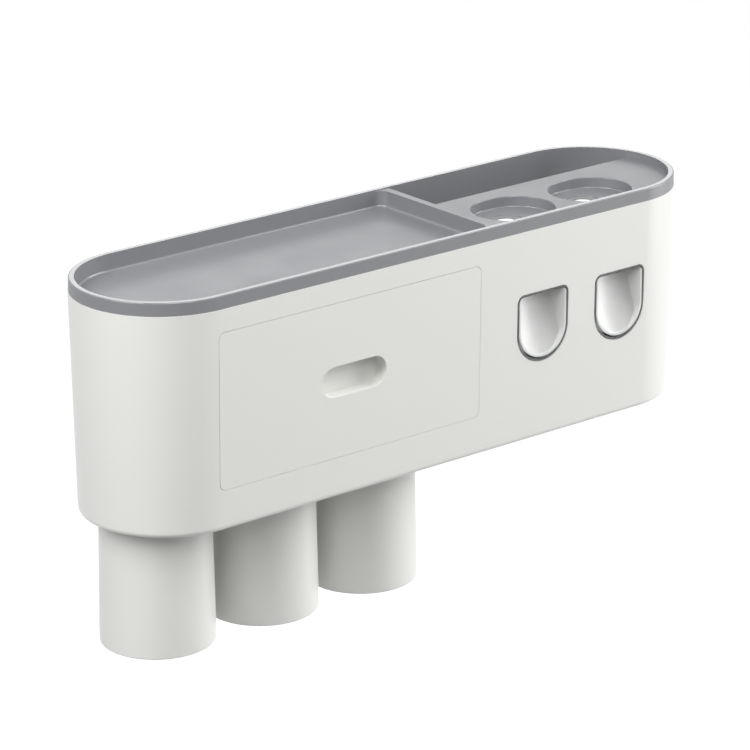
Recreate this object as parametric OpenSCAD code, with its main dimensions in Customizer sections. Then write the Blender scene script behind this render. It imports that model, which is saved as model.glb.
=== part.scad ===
// Wall-hung toothbrush holder: a white casing with a grey top tray, a drawer, three magnetic
// cups under it, a toothbrush rack in its foot and two push-lever toothpaste dispensers.
// Pieces are drawn from the foot of the casing: x along the length, y to the wall, z up.
// to_frame() then moves them to the frame, whose origin is the centre of the wall screws.

/* [Casing] */
// Length over the two round ends
casing_l = 380; // [370:1:400]
// Depth from front to back
casing_d = 95; // [93:1:101]
// Height to the top of the grey rim
casing_h = 124; // [123:1:132]
// Wall of the white shell
shell_wall = 2; // [1.8:0.1:2.4]
// How much each side draws in from the rim to the foot
draft = 1.9; // [1:0.1:2.4]
// Radius round the foot of the shell
foot_r = 3; // [2.2:0.1:4]
// Thickness of the lip that turns in under the foot
lip_t = 2; // [1.6:0.1:2.2]
// Width of that lip past the foot radius
lip_w = 1; // [0.6:0.1:2]
// Distance from each end to the opening in the back
back_margin = 68; // [60:1:78]
// Distance from that opening up to the grey band
back_top = 22; // [19:1:28]
// Lower edge of that opening
back_open_z = 16; // [14:1:19]

/* [Top tray] */
// Height of the grey band round the rim
band_h = 7; // [5:0.5:9]
// How far the band lies behind the white shell
band_step = 0.4; // [0.2:0.1:0.8]
// Width of the rim
rim_w = 3.5; // [3:0.1:4.5]
// Radius on the rim's outer edge
rim_r = 0.9; // [0.5:0.1:1.4]
// Depth of the flat tray below the rim
tray_depth = 9.5; // [7:0.5:11]
// Thickness of the tray's floor
tray_t = 2; // [1.6:0.1:2.4]
// Fillet round the tray's floor
tray_fillet = 1.5; // [0.6:0.1:2.5]
// Radius on the rim's inner edge
rim_in = 0.7; // [0.3:0.1:1]
// Radius in the tray's two inner corners
tray_corner_r = 6; // [3:0.5:9]
// Middle of the divider, left of the first well's middle
divider_off = 32.7; // [30:0.1:36]
// Thickness of the divider
divider_w = 4.3; // [3:0.1:5]
// How far the divider's top lies under the rim
divider_drop = 0.6; // [0:0.1:1]
// Depth of the dispenser deck below the rim
deck_drop = 4; // [3:0.5:5]
// Distance from the wells back to the deep compartment
bay_gap = 10.7; // [9:0.1:14]
// Floor of the deep compartment above the foot
bay_z = 62; // [60:1:76]
// Walls of the deep compartment
bay_wall = 1.6; // [1.2:0.1:2]

/* [Tube wells] */
// Distance from the second well's middle to the right end
unit_end = 65.6; // [60:0.1:70]
// Distance from one dispenser to the next
unit_pitch = 54.7; // [52:0.1:57]
// Radius of a well
well_r = 21.8; // [20:0.1:23]
// Gap between a well and the rim
well_gap = 3.7; // [2.7:0.1:4.2]
// Depth of a well below the deck
well_depth = 3.8; // [3:0.1:4.5]
// Radius of the first step in the well's floor
step_r = 14.5; // [12:0.5:16]
// Radius of the second step
step_r2 = 10; // [8.8:0.1:11]
// Drop at each step
step_drop = 0.7; // [0.4:0.1:1]
// Radius of the hole that the tube's neck points into
neck_hole_r = 5.6; // [5:0.1:6.5]

/* [Drawer] */
// Distance from the left end to the drawer's opening
drawer_end = 46.2; // [45.8:0.1:56]
// Distance from the opening to the first window
drawer_clear = 25.5; // [22:0.1:34]
// Distance from the opening up to the grey band
drawer_top = 11.9; // [10:0.1:18]
// Lower edge of the opening
drawer_z = 21.7; // [21.5:0.1:24]
// Radius in the corners of the opening
drawer_r = 3.8; // [2:0.1:6]
// Gap round the drawer's front
drawer_gap = 0.3; // [0.2:0.1:0.8]
// Thickness of the drawer's front
front_t = 2.4; // [2:0.1:3]
// Wall of the drawer's box
box_wall = 1.8; // [1.4:0.1:2.4]
// Room between the box and the casing's back
box_back = 12; // [12:0.5:26]
// How far the box's edge lies under the opening's upper edge
box_drop = 7.6; // [6:0.1:22]
// Width of the finger pull
pull_w = 42.4; // [36:0.1:50]
// Height of the finger pull
pull_h = 16.5; // [14:0.1:20]
// Middle of the pull, right of the drawer's middle
pull_shift = 0.8; // [-8:0.1:8]
// Middle of the pull, under the drawer's middle
pull_drop = 0.4; // [-6:0.1:6]
// Depth of the pull's hollow
pull_depth = 12; // [9:0.5:14]
// Wall of the pull's hollow
pull_wall = 1.6; // [1.2:0.1:2]

/* [Windows] */
// Width of a window
window_w = 36; // [34:0.5:38]
// Height of a window
window_h = 39.5; // [38:0.5:41]
// Distance from the top of the rim down to a window
window_drop = 41.5; // [40:0.5:44]
// Radius in the two upper corners
window_r = 4.6; // [3:0.1:6]
// Gap between window and bezel
bezel_gap = 0.25; // [0.2:0.05:0.4]
// Wall of the clear bezel
bezel_t = 1.3; // [1:0.1:1.6]

/* [Cups] */
// Radius of a cup's mouth
cup_r = 30; // [28:0.1:30.4]
// Height of a cup
cup_h = 84; // [78:0.5:92]
// Wall of a cup
cup_wall = 1.8; // [1.4:0.1:2.4]
// How much narrower the cup's closed end is
cup_draft = 1.3; // [0.6:0.1:2]
// Gap from cup to cup
cup_gap = 7; // [6:0.1:10]
// Distance from the left end to the first cup
cup_end = 9.3; // [8.8:0.1:14]
// Depth of a cup's seat above the foot
seat_depth = 14.2; // [12.5:0.1:14.5]
// Radius of the steel disc in a cup's end
disc_r = 12; // [9:0.5:14]
// Thickness of that disc
disc_t = 1; // [0.8:0.1:1.2]
// Radius of a seat's magnet
magnet_r = 9; // [7:0.5:11]
// Thickness of a magnet
magnet_t = 2.5; // [2:0.1:2.8]

/* [Brush rack] */
// Distance from slot to slot
slot_pitch = 29; // [26:0.5:30]
// Gap between the last slot's hole and the lip of the foot
slot_edge = 2; // [1:0.1:4]
// Least distance from the last cup's seat to the first hole
rack_gap = 15; // [12:1:20]
// Radius of the hole that a brush's head goes through
slot_head_r = 9.5; // [8.5:0.1:10.5]
// Width of the neck slot behind it
slot_neck_w = 7.5; // [6:0.1:9]
// Length from the head hole's middle to the neck's end
slot_run = 32; // [26:1:36]

/* [Wall mount] */
// Width of a wall plate
plate_w = 60; // [50:1:66]
// Gap between a plate and the side of the opening in the back
plate_side = 7; // [4:1:20]
// Gap between a plate and the top of that opening
plate_top_gap = 1; // [1:0.5:4]
// Room left under a plate when the casing is lifted
plate_low_gap = 10; // [6:0.5:14]
// Thickness of a wall plate
plate_t = 2.5; // [2:0.1:2.6]
// Thickness of an adhesive pad
pad_t = 1; // [0.8:0.1:1.4]
// Distance from a wall screw to the plate's upper or lower edge
screw_edge = 10; // [8:0.5:13]
// Radius of a wall screw's hole
screw_hole_r = 2.2; // [1.8:0.1:2.6]
// Width of a hook
hook_w = 16; // [12:1:20]
// Height of a hook's lip above its stem
hook_lip = 9; // [7:0.5:9.5]
// Thickness of a hook
hook_t = 1.8; // [1.4:0.1:1.9]

/* [Dispenser] */
// Radius of the pump hose
hose_r = 5; // [4.5:0.1:5.1]
// Radius of its bore
hose_bore_r = 3; // [2.5:0.1:3.2]
// Distance from the casing's front to the hose
hose_back = 3.1; // [3:0.1:3.8]
// Lever's pin above the window's upper edge
pin_rise = 2; // [1.8:0.1:2.6]
// Radius of the lever's pin
pin_r = 1.5; // [1.2:0.1:1.6]
// Radius of the lever's barrel
barrel_r = 3; // [2.7:0.1:3.1]
// Radius of the scoop's long curve
scoop_r = 98; // [90:1:110]
// Thickness of the scoop
scoop_t = 1.8; // [1.4:0.1:2.2]

/* [Hidden] */
$fn = 96;

white = "#e6e6e3";
grey = "#96989a";
inner_grey = "#b9bbbd";
clear = "#d5dbdd";
soft_white = "#f4f4f0";
steel = "#a9adb2";
pad_grey = "#d9d9d6";

// Back panel's thickness, and how far it laps the edge of the opening
panel_t = 2;
panel_lap = 8;

// Overrun of every cut, and the clearances between fixed pieces, moving flats and round fits
over = 1;
fit = 0.15;
slide = 0.3;
round_fit = 0.05;

end_r = casing_d / 2;
run = casing_l / 2 - end_r;
shell_h = casing_h - band_h;
front_y = -end_r;
wall_gap = 1;
wall_y = end_r + wall_gap;
foot_steps = 6;

// Opening in the back and the panel that closes it
back_open_w = casing_l - 2 * back_margin;
back_open_h = shell_h - back_top - back_open_z;
panel_inset = shell_wall + fit;
panel_boss_r = 3;
panel_boss_h = 5;
panel_margin = panel_lap / 2;
panel_row_shares = [0.08, 0.45];

// Top tray, wells and deep compartment
well_y = end_r - rim_w - well_r - well_gap;
bay_y = well_r - well_y + bay_gap;
tray_z = casing_h - tray_depth;
deck_z = casing_h - deck_drop;
deck_t = tray_t;
well_z = deck_z - well_depth;
neck_z = well_z - 2 * step_drop;
well_under = neck_z - bay_wall;
skirt_z = min(tray_z - tray_t, well_under);
bay_step_z = back_open_z + back_open_h + panel_lap + fit;
bay_inset = shell_wall + 2 * fit + panel_t;
divider_x = unit_x(0) - divider_off;
divider_x0 = divider_x - divider_w / 2;
divider_x1 = divider_x + divider_w / 2;

well_edge = 0.5;
unit_boss_r = 3;
unit_boss_x = 12;
unit_boss_h = 4.4;

// Base plate, cup seats and brush rack
cup_pitch = 2 * cup_r + cup_gap;
cup_count = 3;
base_t = 2.2;
base_z = lip_t + base_t;
seat_wall = 1.6;
seat_gap = 1.3;
seat_r = cup_r + seat_gap;
ceiling_z = seat_depth + seat_wall;
magnet_rim = 1.6;
lip_r = form_r(foot_r, 0) - foot_r - lip_w;
rack_y = -slot_run / 2;
slot_last = run + sqrt(pow(lip_r - slot_head_r - slot_edge, 2) - pow(rack_y, 2));
slot_first = cup_x(cup_count - 1) + seat_r + seat_wall + rack_gap + slot_head_r;
slot_count = floor((slot_last - slot_first) / slot_pitch) + 1;

// Drawer and its bay
window_z = casing_h - window_drop - window_h;
drawer_x0 = drawer_end - casing_l / 2;
drawer_w = unit_x(0) - window_w / 2 - drawer_clear - drawer_x0;
drawer_h = shell_h - drawer_top - drawer_z;
pull_x = drawer_x0 + drawer_w / 2 + pull_shift;
pull_z = drawer_z + drawer_h / 2 - pull_drop;
bay_floor_t = 1.8;
bay_floor_z = ceiling_z + magnet_t + slide;
bay_floor_top = bay_floor_z + bay_floor_t;
rail_h = 1.8;
rail_w = 4;
rail_shares = [0.12, 0.88];
box_z = bay_floor_top + rail_h + slide;
box_side = 4;
box_x0 = drawer_x0 + box_side;
box_l = drawer_w - 2 * box_side;
box_depth = casing_d - box_back;
box_h = drawer_z + drawer_h - box_drop - box_z;
box_y1 = front_y + box_depth;
bay_side_t = 1.8;
bay_x0 = box_x0 - slide - bay_side_t;
bay_x1 = box_x0 + box_l + slide + bay_side_t;
bay_y1 = box_y1 + slide + bay_side_t;
bay_h = box_h + rail_h + 3 * slide;
post_r = 3.4;
post_in = 13.5;
post_y = end_r - post_in;

screw_r = 1.3;
screw_head_r = 2.7;
screw_head_h = 1.5;

// Wall plates, hooks and their room in the panel and the deep compartment
lift_spare = 3;
lift = hook_lip + lift_spare;
lift_gap = 0.5;
plate_h = back_open_h - lift - plate_top_gap - plate_low_gap;
plate_pitch = back_open_w - plate_w - 2 * plate_side;
mount_z = back_open_z + back_open_h - plate_top_gap - plate_h / 2;
screw_pitch = plate_h - 2 * screw_edge;
plate_y = wall_y - pad_t - plate_t;
plate_r = 5;
plate_gap = 0.6;
hook_gap = 2.7;
hook_rise = 5;
hook_z = mount_z + hook_rise;
hook_stem = 4;
hook_y = plate_y - hook_gap - hook_t;
relief_side = 3;
relief_w = hook_w + 2 * relief_side;
relief_gap = 0.6;
relief_y = hook_y - relief_gap;
relief_z = hook_z + hook_lip + relief_side;
pad_inset = 2;

disc_gap = 0.1;
cup_edge_r = 3.5;
cup_base_t = 3;

// Dispenser, drawn about its own middle at x = 0
window_top = window_z + window_h;
cheek_x = window_w / 2 - bezel_gap - bezel_t;
bezel_depth = 4.5;
bezel_y = front_y + bezel_depth;
flange_w = 3;
unit_drop = 5.5;
unit_z0 = window_z - unit_drop;
unit_t = 1.4;
unit_back = 2.1;
unit_y1 = -well_y + hose_r + unit_back;
ceiling_rise = 0.14;
ceiling_top = window_top + ceiling_rise;
ceiling_gap = 2.2;
nozzle_y = front_y + hose_back + hose_r;
pin_gap = 0.4;
pin_y = nozzle_y + hose_r + pin_gap + barrel_r;
pin_z = window_top + pin_rise;
lever_fit = 0.08;
seal_flange_r = 8;
seal_flange_t = 3.2;
seal_z = well_under - seal_flange_t;
spigot_l = 3;
collar_t = 1.9;
hose_end_z = ceiling_top + collar_t;
hose_rise = 4.8;
hose_low = [nozzle_y, hose_end_z + hose_rise];
hose_drop = 4;
hose_high = [-well_y, seal_z - spigot_l - hose_drop];
hose_tilt = atan2(hose_high.y - hose_low.y, hose_high.x - hose_low.x);
hose_l = norm(hose_high - hose_low);
hose_seat_shares = [0.12, 0.7];

// Push lever: a scoop below the pin and a nose above it that squeezes the hose
nose_r = 2.5;
nose_share = 0.68;
nose_off = hose_r + nose_r + slide;
nose = hose_low + (hose_high - hose_low) * nose_share + nose_off * [sin(hose_tilt), -cos(hose_tilt)];
nose_arm = nose - [pin_y, pin_z];
nose_w = 12;
paddle_gap = 0.6;
paddle_half = cheek_x - paddle_gap;
paddle_inset = bezel_gap + bezel_t + paddle_gap;
paddle_lift = 3;
paddle_mid = window_z + paddle_lift + paddle_half;
paddle_top = window_top - paddle_inset;
paddle_back = 2.3;
paddle_front = front_y + paddle_back;
scoop_depth = 15;
scoop_deep = front_y + scoop_depth;
scoop_rise = 15.3;
scoop_zc = paddle_top + scoop_rise;
scoop_yc = scoop_deep - sqrt(pow(scoop_r, 2) - pow(scoop_rise, 2));
dish_r = 45;
scoop_rim = 1;
scoop_half = paddle_half - scoop_rim;
scoop_slope = 0.35;

// Return spring: round wire, eight rings a turn and six sides
spring_z = paddle_mid;
spring_r = 3.6;
wire_r = 0.4;
spring_turns = 6;
spring_peg_r = 2.4;
spring_y0 = scoop_back_y(spring_z + spring_r + wire_r) + wire_r + slide;
spring_y1 = unit_y1 - unit_t - wire_r - slide;
rings = 8;
sides = 6;

function unit_x(u) = casing_l / 2 - unit_end - (1 - u) * unit_pitch;
function cup_x(c) = cup_end + cup_r + c * cup_pitch - casing_l / 2;

// Back of the scoop, on its middle line at height z
function scoop_back_y(z) = scoop_yc + sqrt(pow(scoop_r + scoop_t, 2) - pow(z - scoop_zc, 2));

// Half depth of the casing's form at height z, drawn in by inset
function form_r(z, inset) = end_r - inset - draft * max(0, 1 - z / shell_h);
function form_points(inset, z0, z1) = concat(
    [[0, z0], [form_r(z0, inset), z0]],
    z0 < shell_h && z1 > shell_h ? [[form_r(shell_h, inset), shell_h]] : [],
    [[form_r(z1, inset), z1], [0, z1]]);

module to_frame() {
    translate([0, -wall_y, -mount_z]) children();
}

// A half section swept round the casing's plan: two half turns and two straight runs
module plan_sweep() {
    for (side = [-1, 1])
        translate([side * run, 0, 0]) rotate([0, 0, -90 * side]) rotate_extrude(angle = 180) children();
    for (flip = [0, 1])
        mirror([0, flip, 0]) translate([-run, 0, 0]) rotate([90, 0, 90]) linear_extrude(2 * run) children();
}

module form(inset, z0, z1) {
    plan_sweep() polygon(form_points(inset, z0, z1));
}

module plan_slab(r, z0, z1) {
    plan_sweep() translate([0, z0]) square([r, z1 - z0]);
}

// A flat outline on the x and z axes, drawn back from y0 to y1
module upright(y0, y1) {
    translate([0, y1, 0]) rotate([90, 0, 0]) linear_extrude(y1 - y0) children();
}

module rounded(w, h, r) {
    translate([r, 0]) square([w - 2 * r, h]);
    translate([0, r]) square([w, h - 2 * r]);
    for (x = [r, w - r], y = [r, h - r]) translate([x, y]) circle(r);
}

module pill(w, h) {
    square([w - h, h], center = true);
    for (side = [-1, 1]) translate([side * (w - h) / 2, 0]) circle(h / 2);
}

// Window outline: flat top with two corner radii, half round foot
module d_shape(inset) {
    w = window_w - 2 * inset;
    r = max(window_r - inset, window_r / 4);
    top = window_z + window_h - inset;
    mid = window_z + window_w / 2;
    translate([0, mid]) circle(w / 2);
    translate([-w / 2, mid]) square([w, top - r - mid]);
    translate([r - w / 2, mid]) square([w - 2 * r, top - mid]);
    for (side = [-1, 1]) translate([side * (w / 2 - r), top - r]) circle(r);
}

module x_rod(r, l) {
    rotate([0, 90, 0]) cylinder(r = r, h = l, center = true);
}

module screw(l) {
    cylinder(r = screw_r, h = l);
    translate([0, 0, -screw_head_h]) cylinder(r = screw_head_r, h = screw_head_h);
}

module drawer_outline(inset) {
    translate([drawer_x0 + inset, drawer_z + inset])
        rounded(drawer_w - 2 * inset, drawer_h - 2 * inset, drawer_r);
}

module back_outline(grow) {
    translate([-back_open_w / 2 - grow, back_open_z - grow])
        rounded(back_open_w + 2 * grow, back_open_h + 2 * grow, drawer_r);
}

// Screws that hold the back panel: places on x and z
panel_screw_places = [
    for (x = [-1, 1], row_share = panel_row_shares)
        [x * (back_open_w / 2 + panel_margin), back_open_z + back_open_h * row_share],
    for (z = [back_open_z - panel_margin, back_open_z + back_open_h + panel_margin]) [0, z]
];

module casing() {
    foot_x = form_r(foot_r, 0) - foot_r;
    foot = [for (i = [0:foot_steps]) let (a = 90 * i / foot_steps)
        [foot_x + foot_r * sin(a), foot_r - foot_r * cos(a)]];
    color(white) to_frame() difference() {
        plan_sweep() polygon(concat([[0, 0]], foot, [[form_r(shell_h, 0), shell_h], [0, shell_h]]));
        form(shell_wall, lip_t, shell_h + over);
        plan_slab(lip_r, -over, lip_t + over);
        upright(front_y - over, front_y / 2) drawer_outline(0);
        for (u = [0, 1])
            translate([unit_x(u), 0, 0]) upright(front_y - over, front_y / 2) d_shape(0);
        upright(end_r / 2, end_r + over) back_outline(0);
        for (p = panel_screw_places)
            translate([p.x, end_r / 2, p.y]) rotate([-90, 0, 0])
                cylinder(r = screw_r + fit, h = end_r);
    }
}

// Half section of the tray's hollow: floor, fillet, upright wall and rounded edge
function tray_points(r) = concat(
    [[0, tray_z]],
    [for (i = [0:foot_steps]) let (a = 90 * i / foot_steps)
        [r - tray_fillet * (1 - sin(a)), tray_z + tray_fillet * (1 - cos(a))]],
    rim_edge(r),
    [[r + rim_in, casing_h + over], [0, casing_h + over]]);
function rim_edge(r) = [for (i = [0:foot_steps]) let (a = 90 * i / foot_steps)
    [r + rim_in * (1 - cos(a)), casing_h - rim_in * (1 - sin(a))]];

// Flat tray left of the divider, with its two rounded corners
module tray_hollow() {
    r = end_r - rim_w;
    c = tray_corner_r;
    translate([-run, 0, 0]) rotate([0, 0, 90]) rotate_extrude(angle = 180) polygon(tray_points(r));
    for (flip = [0, 1]) mirror([0, flip, 0]) {
        translate([-run, 0, 0]) rotate([90, 0, 90])
            linear_extrude(run + divider_x0 - c) polygon(tray_points(r));
        translate([divider_x0 - c, r - c, 0]) rotate_extrude(angle = 90) polygon(tray_points(c));
    }
    translate([divider_x0 - c, r - c, 0]) rotate([90, 0, 0])
        linear_extrude(2 * (r - c)) polygon(tray_points(c));
}

// Room inside the rim and its skirt
module rim_hollow() {
    r = end_r - rim_w;
    low = skirt_z - over;
    plan_sweep() polygon(concat(
        [[0, low], [form_r(low, rim_w), low], [r, shell_h]],
        rim_edge(r),
        [[r + rim_in, casing_h + over], [0, casing_h + over]]));
}

module rim_section() {
    r = end_r - band_step;
    arc = [for (i = [0:foot_steps]) let (a = 90 * i / foot_steps)
        [r - rim_r + rim_r * cos(a), casing_h - rim_r + rim_r * sin(a)]];
    polygon(concat([[0, shell_h], [r, shell_h]], arc, [[0, casing_h]]));
}

module relief(grow) {
    translate([plate_pitch / 2 - relief_w / 2 - grow, relief_y - grow, bay_z - tray_t - over])
        cube([relief_w + 2 * grow, end_r, relief_z + grow - bay_z + tray_t + over]);
}

// Space right of x0 and between y0 and y1, for cutting the plan
module right_of(x0, y0, y1, z0, z1) {
    translate([x0, y0, z0]) cube([casing_l, y1 - y0, z1 - z0]);
}

// The deep compartment clears the back panel below its step
module bay_form() {
    form(bay_inset, bay_z - tray_t, bay_step_z + bay_wall);
    form(shell_wall + fit, bay_step_z, shell_h);
}

module bay_hollow() {
    form(bay_inset + bay_wall, bay_z, bay_step_z + 2 * bay_wall);
    form(rim_w, bay_step_z + bay_wall, casing_h + over);
}

// Bosses under the wells that take the dispensers' screws
module unit_bosses(r) {
    for (u = [0, 1], side = [-1, 1])
        translate([unit_x(u) + side * unit_boss_x, -well_y, seal_z]) cylinder(r = r, h = unit_boss_h);
}

// Rim, skirt, flat tray and divider
module top_tray() {
    color(grey) to_frame() difference() {
        union() {
            plan_sweep() rim_section();
            form(shell_wall + fit, skirt_z, shell_h);
        }
        tray_hollow();
        intersection() {
            rim_hollow();
            right_of(divider_x1, front_y, end_r, skirt_z - over, casing_h + over);
        }
        intersection() {
            plan_slab(end_r - rim_w, casing_h - divider_drop, casing_h + over);
            right_of(divider_x0 - over, front_y, end_r, skirt_z, casing_h + over);
        }
    }
}

// Deck inside the rim with the two stepped wells, and the upper front wall of the deep compartment
module dispenser_deck() {
    color(grey) to_frame() difference() {
        union() {
            intersection() {
                form(rim_w, skirt_z, deck_z);
                union() {
                    right_of(divider_x1, front_y, bay_y, deck_z - deck_t, deck_z);
                    right_of(divider_x1, bay_y - bay_wall, bay_y, skirt_z, deck_z);
                }
            }
            for (u = [0, 1]) translate([unit_x(u), -well_y, well_under])
                cylinder(r = well_r + bay_wall, h = deck_z - well_under);
            unit_bosses(unit_boss_r);
        }
        unit_bosses(screw_r + round_fit);
        for (u = [0, 1]) translate([unit_x(u), -well_y, 0]) {
            translate([0, 0, well_z]) cylinder(r = well_r, h = casing_h);
            translate([0, 0, deck_z - well_edge]) cylinder(r1 = well_r, r2 = well_r + over, h = over);
            translate([0, 0, well_z - step_drop]) cylinder(r = step_r, h = casing_h);
            translate([0, 0, neck_z]) cylinder(r = step_r2, h = casing_h);
            translate([0, 0, skirt_z - over]) cylinder(r = neck_hole_r, h = casing_h);
        }
    }
}

// Deep compartment below the rim's skirt
module deep_bin() {
    color(grey) to_frame() difference() {
        intersection() {
            bay_form();
            right_of(divider_x1 - bay_wall, bay_y - bay_wall, end_r, bay_z - tray_t, skirt_z);
        }
        difference() {
            intersection() {
                bay_hollow();
                right_of(divider_x1, bay_y, end_r, bay_z, skirt_z + over);
            }
            relief(bay_wall);
        }
        relief(0);
    }
}

module keyhole() {
    circle(slot_head_r);
    translate([-slot_neck_w / 2, 0]) square([slot_neck_w, slot_run]);
    translate([0, slot_run]) circle(slot_neck_w / 2);
}

bay_screw_places = [for (c = [0, 1], side = [-1, 1]) [(cup_x(c) + cup_x(c + 1)) / 2, side * post_y]];

module base_plate() {
    color(white) to_frame() difference() {
        union() {
            plan_slab(form_r(lip_t, shell_wall + fit), lip_t, base_z);
            for (c = [0:2]) translate([cup_x(c), 0, 0]) {
                translate([0, 0, lip_t]) cylinder(r = seat_r + seat_wall, h = ceiling_z - lip_t);
                translate([0, 0, seat_depth])
                    cylinder(r = magnet_r + magnet_rim, h = bay_floor_z - seat_depth);
            }
        }
        for (c = [0:2]) translate([cup_x(c), 0, 0]) {
            translate([0, 0, -over]) cylinder(r = seat_r, h = seat_depth + over);
            translate([0, 0, ceiling_z]) cylinder(r = magnet_r + fit, h = magnet_t + over);
        }
        for (i = [0:slot_count - 1])
            translate([slot_last - i * slot_pitch, rack_y, 0])
                linear_extrude(base_z + over) keyhole();
        for (p = bay_screw_places) translate([p.x, p.y, 0]) cylinder(r = screw_r + fit, h = base_z + over);
    }
}

module seat_magnets() {
    color(steel) to_frame() for (c = [0:2])
        translate([cup_x(c), 0, ceiling_z]) cylinder(r = magnet_r, h = magnet_t);
}

module back_panel() {
    z0 = back_open_z - panel_lap;
    z1 = back_open_z + back_open_h + panel_lap;
    color(inner_grey) to_frame() difference() {
        union() {
            intersection() {
                difference() {
                    form(panel_inset, z0 - over, z1 + over);
                    form(panel_inset + panel_t, z0 - 2 * over, z1 + 2 * over);
                }
                upright(0, end_r) back_outline(panel_lap);
            }
            for (p = panel_screw_places)
                translate([p.x, form_r(p.y, panel_inset + panel_t / 2), p.y]) rotate([90, 0, 0])
                    cylinder(r = panel_boss_r, h = panel_boss_h);
        }
        for (p = panel_screw_places)
            translate([p.x, end_r, p.y]) rotate([90, 0, 0])
                cylinder(r = screw_r + round_fit, h = end_r - form_r(p.y, panel_inset + panel_boss_h - over));
        for (side = [-1, 1]) translate([side * plate_pitch / 2, 0, 0]) {
            translate([-plate_w / 2 - over, plate_y - plate_gap, mount_z - plate_h / 2 - lift - over])
                cube([plate_w + 2 * over, end_r, plate_h + lift + 2 * over]);
            translate([-hook_w / 2 - over, 0, hook_z - hook_stem - lift - lift_gap])
                cube([hook_w + 2 * over, end_r, hook_stem + lift + lift_gap]);
        }
    }
}

module panel_screws() {
    color(steel) to_frame() for (p = panel_screw_places)
        translate([p.x, form_r(p.y - screw_head_r, 0), p.y]) translate([0, fit, 0]) rotate([90, 0, 0])
            screw(panel_boss_h);
}

// Two rails on the bay's floor carry the drawer
module bay_rails() {
    intersection() {
        for (share = rail_shares)
            translate([box_x0 + box_l * share - rail_w / 2, front_y, bay_floor_top - over])
                cube([rail_w, box_depth, rail_h + over]);
        form(front_t + slide, bay_floor_z, shell_h);
    }
}

module drawer_bay() {
    color(inner_grey) to_frame() {
        bay_rails();
        difference() {
            union() {
                intersection() {
                    translate([bay_x0, front_y, bay_floor_z])
                        cube([bay_x1 - bay_x0, bay_y1 - front_y, bay_floor_t + bay_h]);
                    form(front_t + slide, bay_floor_z, shell_h);
                }
                for (p = bay_screw_places)
                    translate([p.x, p.y, base_z]) cylinder(r = post_r, h = bay_floor_top - base_z);
            }
            translate([bay_x0 + bay_side_t, front_y - over, bay_floor_top])
                cube([bay_x1 - bay_x0 - 2 * bay_side_t, bay_y1 - bay_side_t - front_y + over, casing_h]);
            for (p = bay_screw_places)
                translate([p.x, p.y, 0]) cylinder(r = screw_r + round_fit, h = bay_floor_z);
        }
    }
}

module bay_screws() {
    color(steel) to_frame() for (p = bay_screw_places)
        translate([p.x, p.y, lip_t]) screw(bay_floor_z - lip_t - over);
}

// The pull's hollow: a pill whose back is a curve, deep at the top and shallow at the foot
module pull_form(grow) {
    translate([pull_x, 0, 0]) intersection() {
        upright(front_y - over, 0) translate([0, pull_z]) pill(pull_w + 2 * grow, pull_h + 2 * grow);
        translate([0, front_y, pull_z + pull_h / 3]) x_rod(pull_depth + grow, pull_w + pull_h);
    }
}

module drawer_front() {
    color(white) to_frame() difference() {
        union() {
            intersection() {
                difference() {
                    form(0, 0, shell_h);
                    form(front_t, -over, shell_h + over);
                }
                upright(front_y - over, front_y / 2) drawer_outline(drawer_gap);
            }
            intersection() {
                form(0, 0, shell_h);
                pull_form(pull_wall);
            }
        }
        pull_form(0);
    }
}

module drawer_box() {
    color(inner_grey) to_frame() difference() {
        intersection() {
            translate([box_x0, front_y, box_z]) cube([box_l, box_depth, box_h]);
            form(front_t, 0, shell_h);
        }
        difference() {
            translate([box_x0 + box_wall, 0, box_z + box_wall])
                intersection() {
                    translate([0, front_y, 0])
                        cube([box_l - 2 * box_wall, box_depth - box_wall, casing_h]);
                    translate([-box_x0 - box_wall, 0, -box_z - box_wall])
                        form(front_t + box_wall, 0, casing_h);
                }
            pull_form(2 * pull_wall);
        }
        pull_form(pull_wall + round_fit);
    }
}

module cup_section() {
    base_z1 = seat_depth;
    mouth_z = base_z1 - cup_h;
    top_r = cup_r - cup_draft;
    lip = cup_wall / 2;
    edge = [for (i = [0:foot_steps]) let (a = 90 * i / foot_steps)
        [top_r - cup_edge_r + cup_edge_r * cos(a), base_z1 - cup_edge_r + cup_edge_r * sin(a)]];
    mouth = [for (i = [0:2 * foot_steps]) let (a = 180 + 180 * i / (2 * foot_steps))
        [cup_r - lip + lip * cos(a), mouth_z + lip + lip * sin(a)]];
    inner_r = top_r - cup_wall;
    polygon(concat(
        [[0, base_z1 - disc_t], [disc_r + disc_gap, base_z1 - disc_t], [disc_r + disc_gap, base_z1]],
        [for (i = [0:foot_steps]) edge[foot_steps - i]],
        [for (i = [0:2 * foot_steps]) mouth[2 * foot_steps - i]],
        [[inner_r, base_z1 - cup_base_t - cup_wall],
         [inner_r - cup_wall, base_z1 - cup_base_t],
         [0, base_z1 - cup_base_t]]));
}

module cup(c) {
    color(white) to_frame() translate([cup_x(c), 0, 0]) rotate_extrude() cup_section();
}

module cup_disc(c) {
    color(steel) to_frame() translate([cup_x(c), 0, seat_depth - disc_t]) cylinder(r = disc_r, h = disc_t);
}

// Sweep of the scoop's face about its far axis, out to radius grow past the face
module scoop_sweep(grow) {
    inner = scoop_r / 2;
    translate([0, scoop_yc, scoop_zc]) rotate([0, 90, 0]) rotate([0, 0, 50]) rotate_extrude(angle = 45)
        intersection() {
            translate([scoop_r - dish_r, 0]) circle(dish_r + grow, $fn = 180);
            translate([inner + scoop_r / 10, -window_w / 2]) square([scoop_r, window_w]);
        }
}

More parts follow.
